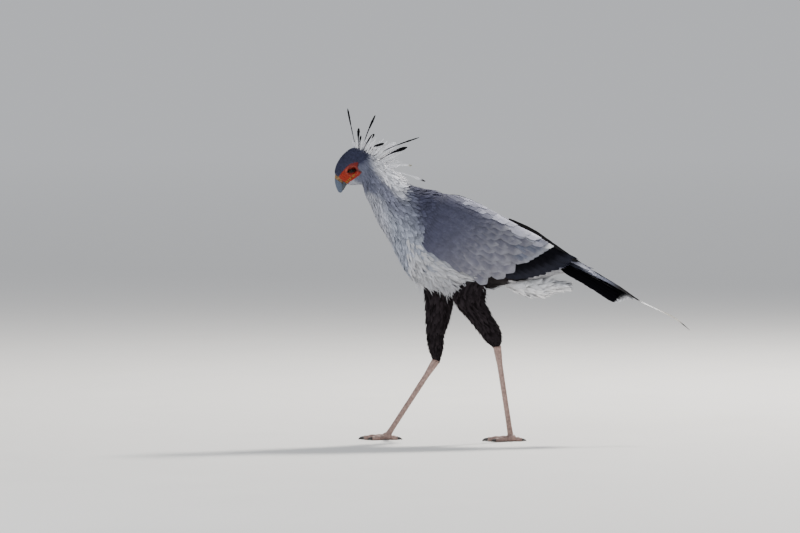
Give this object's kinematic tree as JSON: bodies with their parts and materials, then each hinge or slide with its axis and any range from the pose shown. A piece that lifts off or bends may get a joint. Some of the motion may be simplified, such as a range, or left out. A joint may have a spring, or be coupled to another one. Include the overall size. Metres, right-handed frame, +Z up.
{
  "type": "secretary bird model",
  "caption": "Life-size still model of a standing secretary bird with a raised crest, folded wings and long drawn-out tail feathers.",
  "frame": {"origin": "on the floor below the middle of the bird's box", "axes": "+Z up, the bird faces -X, and its left side is towards -Y"},
  "size_m": [1.1736, 0.222, 1.0981],
  "materials": {
    "plumage_grey": "matte feathers, slate blue grey with paler edges",
    "plumage_pale": "matte feathers, pale grey to white",
    "plumage_black": "matte to silky feathers, near black",
    "cere_skin": "soft bare skin, yellow",
    "bill_horn": "satin horn, blue grey",
    "eye": "wet gloss, dark brown",
    "leg_skin": "scaled skin, flesh pink",
    "claw_horn": "satin horn, black",
    "face_skin": "bare wrinkled skin, orange red"
  },
  "bodies": {
    "root": {"head": "plumage_grey", "neck": "plumage_pale", "torso": "plumage_grey", "cere": "cere_skin", "bill_upper": "bill_horn", "bill_lower": "bill_horn", "tail": "plumage_black", "undertail_coverts": "plumage_pale", "eye_left": "eye", "wing_left": "plumage_grey", "thigh_left": "plumage_black", "tarsus_left": "leg_skin", "foot_left": "leg_skin", "claw_left_inner": "claw_horn", "claw_left_middle": "claw_horn", "claw_left_outer": "claw_horn", "claw_left_rear": "claw_horn", "eye_right": "eye", "wing_right": "plumage_grey", "thigh_right": "plumage_black", "tarsus_right": "leg_skin", "foot_right": "leg_skin", "claw_right_inner": "claw_horn", "claw_right_middle": "claw_horn", "claw_right_outer": "claw_horn", "claw_right_rear": "claw_horn"}
  },
  "joints": []
}
